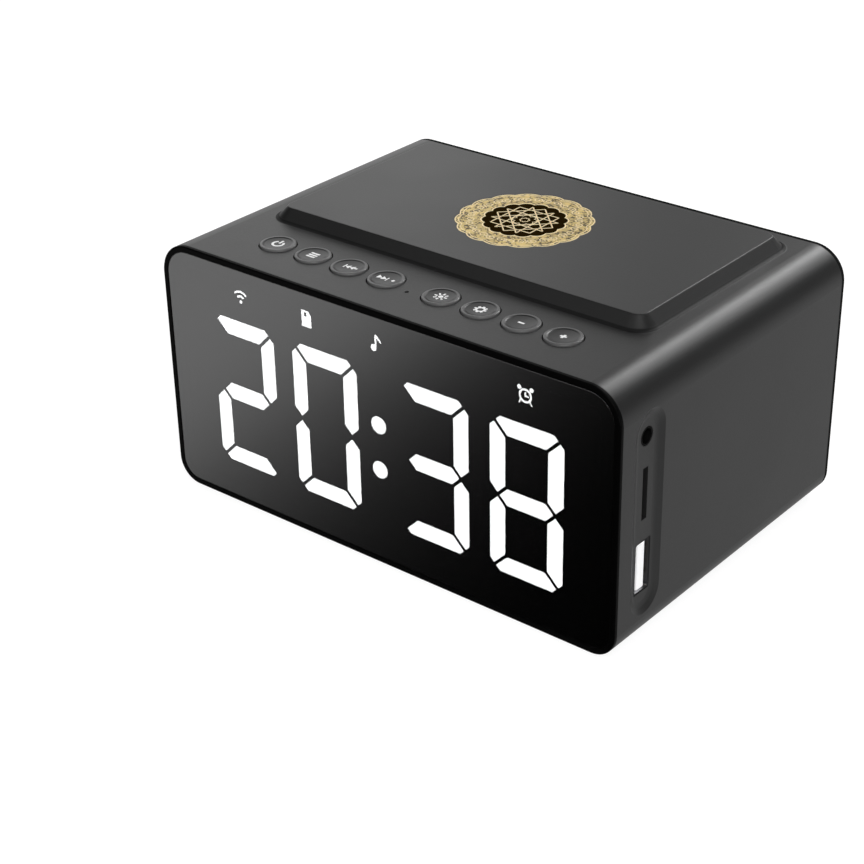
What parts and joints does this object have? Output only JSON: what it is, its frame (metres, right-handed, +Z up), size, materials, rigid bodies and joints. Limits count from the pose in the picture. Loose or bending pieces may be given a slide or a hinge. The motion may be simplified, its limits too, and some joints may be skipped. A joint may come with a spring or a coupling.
{
  "type": "clock speaker",
  "caption": "Low box-shaped digital clock speaker with a large lit display, a row of round buttons, side ports and a raised charging plateau.",
  "frame": {"origin": "on the table, under the middle of the clock", "axes": "+Z up, the display faces -Y, +X to the right seen from the front"},
  "size_m": [0.136, 0.0944, 0.0707],
  "materials": {
    "housing_plastic": "fine moulded satin texture",
    "bezel_plastic": "polished black",
    "smoked_lens": "smoked, polished",
    "adhesive_tape": "black foam tape",
    "digit_light": "translucent diffuser, lit",
    "digit_dark": "translucent diffuser, unlit",
    "mask_film": "printed black film",
    "reflector_plastic": "white reflector plastic",
    "board_laminate": "green solder resist",
    "led_package": "white package with yellow phosphor",
    "chip_epoxy": "black epoxy",
    "receiver_epoxy": "dark infrared epoxy",
    "button_plastic": "satin",
    "switch_plastic": "black switch body",
    "rubber_black": "matte",
    "capsule_metal": "drawn can",
    "plated_steel": "nickel plated",
    "screw_steel": "black zinc",
    "port_plastic_white": "white connector plastic",
    "port_plastic_black": "black connector plastic",
    "contact_gold": "gold flash",
    "medallion_gold": "printed gold",
    "medallion_brown": "dark brown enamel",
    "coil_copper": "wound litz copper",
    "ferrite_grey": "sintered ferrite",
    "battery_wrap": "blue heat-shrink wrap",
    "capacitor_can": "drawn can",
    "basket_steel": "black painted steel",
    "cone_paper": "pressed paper pulp",
    "lead_sleeve": "vinyl sleeve",
    "dust_cloth_fabric": "thin woven cloth"
  },
  "bodies": {
    "clock_body": {"audio_jack": "port_plastic_black", "battery_adhesive_pad": "adhesive_tape", "battery_pack": "battery_wrap", "bezel_screws": "plated_steel", "board_screws": "plated_steel", "capacitors": "capacitor_can", "card_socket": "plated_steel", "charger_board": "board_laminate", "charger_components": "chip_epoxy", "charging_coil": "coil_copper", "digit_segments_lit": "digit_light", "digit_segments_unlit": "digit_dark", "display_board": "board_laminate", "display_driver_chip": "chip_epoxy", "display_leds": "led_package", "display_lens": "smoked_lens", "display_mask": "mask_film", "feet": "rubber_black", "ferrite_sheet": "ferrite_grey", "front_bezel": "bezel_plastic", "housing": "housing_plastic", "indicator_icons": "digit_light", "infrared_receiver": "receiver_epoxy", "internal_leads": "lead_sleeve", "key_board": "board_laminate", "lens_adhesive_frame": "adhesive_tape", "main_board": "board_laminate", "main_board_chips": "chip_epoxy", "medallion_disc": "medallion_brown", "medallion_ring": "medallion_gold", "microphone_boot": "rubber_black", "microphone_capsule": "capsule_metal", "port_board": "board_laminate", "power_board": "board_laminate", "power_inlet_shell": "plated_steel", "power_inlet_tongue": "port_plastic_black", "rear_cover": "housing_plastic", "rear_cover_screws": "screw_steel", "reflector_block": "reflector_plastic", "speaker_basket": "basket_steel", "speaker_cone": "cone_paper", "speaker_dust_cloth": "dust_cloth_fabric", "speaker_magnet": "ferrite_grey", "speaker_pole_piece": "plated_steel", "speaker_surround": "rubber_black", "speaker_top_plate": "plated_steel", "tact_switches": "switch_plastic", "usb_contacts": "contact_gold", "usb_shell": "plated_steel", "usb_tongue": "port_plastic_white", "voice_coil": "coil_copper"},
    "power_button": {"button_power": "button_plastic"},
    "menu_button": {"button_menu": "button_plastic"},
    "previous_button": {"button_previous": "button_plastic"},
    "next_button": {"button_next": "button_plastic"},
    "light_button": {"button_light": "button_plastic"},
    "settings_button": {"button_settings": "button_plastic"},
    "minus_button": {"button_minus": "button_plastic"},
    "plus_button": {"button_plus": "button_plastic"}
  },
  "joints": [
    {"name": "power_button_press", "type": "slide", "parent": "clock_body", "child": "power_button", "axis": [0, 0, -1], "range_m": [0, 0.0004], "stiffness_N_per_m": 600, "springref_m": -0.001},
    {"name": "menu_button_press", "type": "slide", "parent": "clock_body", "child": "menu_button", "axis": [0, 0, -1], "range_m": [0, 0.0004], "stiffness_N_per_m": 600, "springref_m": -0.001},
    {"name": "previous_button_press", "type": "slide", "parent": "clock_body", "child": "previous_button", "axis": [0, 0, -1], "range_m": [0, 0.0004], "stiffness_N_per_m": 600, "springref_m": -0.001},
    {"name": "next_button_press", "type": "slide", "parent": "clock_body", "child": "next_button", "axis": [0, 0, -1], "range_m": [0, 0.0004], "stiffness_N_per_m": 600, "springref_m": -0.001},
    {"name": "light_button_press", "type": "slide", "parent": "clock_body", "child": "light_button", "axis": [0, 0, -1], "range_m": [0, 0.0004], "stiffness_N_per_m": 600, "springref_m": -0.001},
    {"name": "settings_button_press", "type": "slide", "parent": "clock_body", "child": "settings_button", "axis": [0, 0, -1], "range_m": [0, 0.0004], "stiffness_N_per_m": 600, "springref_m": -0.001},
    {"name": "minus_button_press", "type": "slide", "parent": "clock_body", "child": "minus_button", "axis": [0, 0, -1], "range_m": [0, 0.0004], "stiffness_N_per_m": 600, "springref_m": -0.001},
    {"name": "plus_button_press", "type": "slide", "parent": "clock_body", "child": "plus_button", "axis": [0, 0, -1], "range_m": [0, 0.0004], "stiffness_N_per_m": 600, "springref_m": -0.001}
  ]
}
